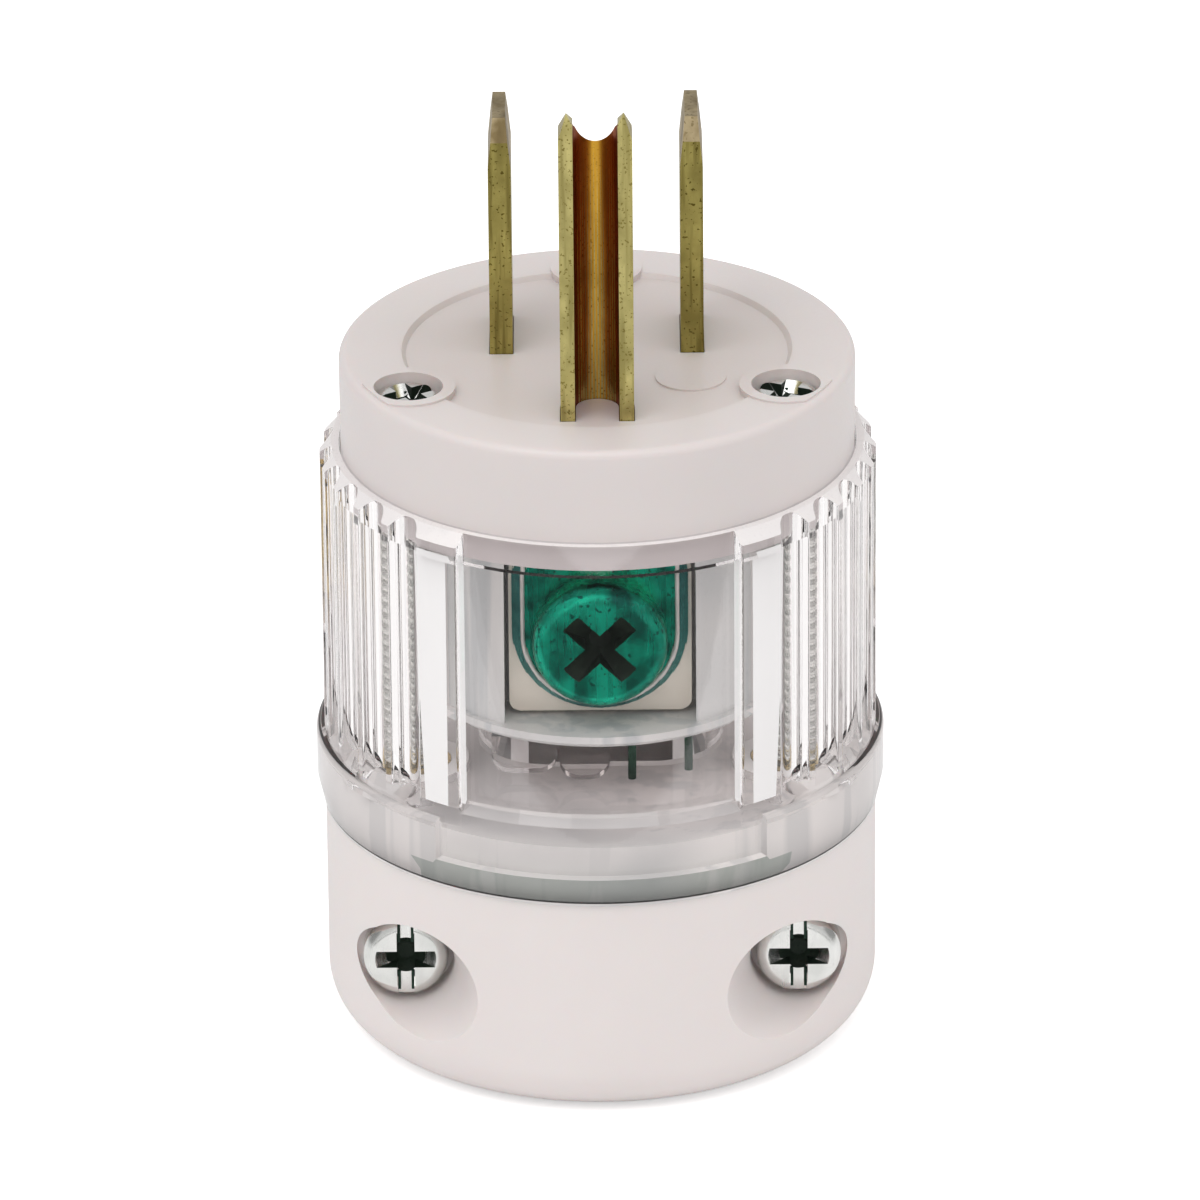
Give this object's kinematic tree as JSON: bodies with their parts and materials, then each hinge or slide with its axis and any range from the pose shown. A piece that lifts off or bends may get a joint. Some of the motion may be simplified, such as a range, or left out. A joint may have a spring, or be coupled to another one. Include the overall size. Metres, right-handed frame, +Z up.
{
  "type": "grounded plug",
  "caption": "Straight-blade grounded mains plug with a white face, a clear fluted housing that shows the terminals, and a white rear cap with a screw cord clamp.",
  "frame": {"origin": "centre of the plug's axis at the bottom of the rear cap, which the plug stands on", "axes": "+Z up the plug's axis towards the blades, -Y towards the ground pin and the window that shows the ground terminal, +X towards the neutral blade"},
  "size_m": [0.0384, 0.0382, 0.0697],
  "materials": {
    "white_nylon": "warm white moulded nylon with a soft satin surface",
    "clear_polycarbonate": "colourless transparent polycarbonate, polished",
    "tarnished_brass": "olive yellow brass with speckled tarnish",
    "bright_brass": "plain turned brass",
    "plated_steel": "cream coloured zinc plate",
    "green_steel": "green dyed plating on steel",
    "nickel_steel": "nickel plated steel with faint turning marks"
  },
  "bodies": {
    "root": {"front_body": "white_nylon", "wiring_block": "white_nylon", "clear_housing": "clear_polycarbonate", "rear_cap": "white_nylon", "clamp_jaw": "white_nylon", "hot_blade": "tarnished_brass", "neutral_blade": "tarnished_brass", "ground_pin": "tarnished_brass", "hot_clamp_plate": "plated_steel", "hot_washer": "bright_brass", "neutral_clamp_plate": "plated_steel", "neutral_washer": "nickel_steel", "ground_clamp_plate": "plated_steel", "ground_washer": "green_steel", "hot_terminal_screw": "bright_brass", "neutral_terminal_screw": "nickel_steel", "ground_terminal_screw": "green_steel", "assembly_screw_left": "nickel_steel", "assembly_screw_right": "nickel_steel", "assembly_insert_left": "bright_brass", "assembly_insert_right": "bright_brass", "clamp_screw_left": "nickel_steel", "clamp_screw_right": "nickel_steel", "clamp_insert_left": "bright_brass", "clamp_insert_right": "bright_brass"}
  },
  "joints": []
}
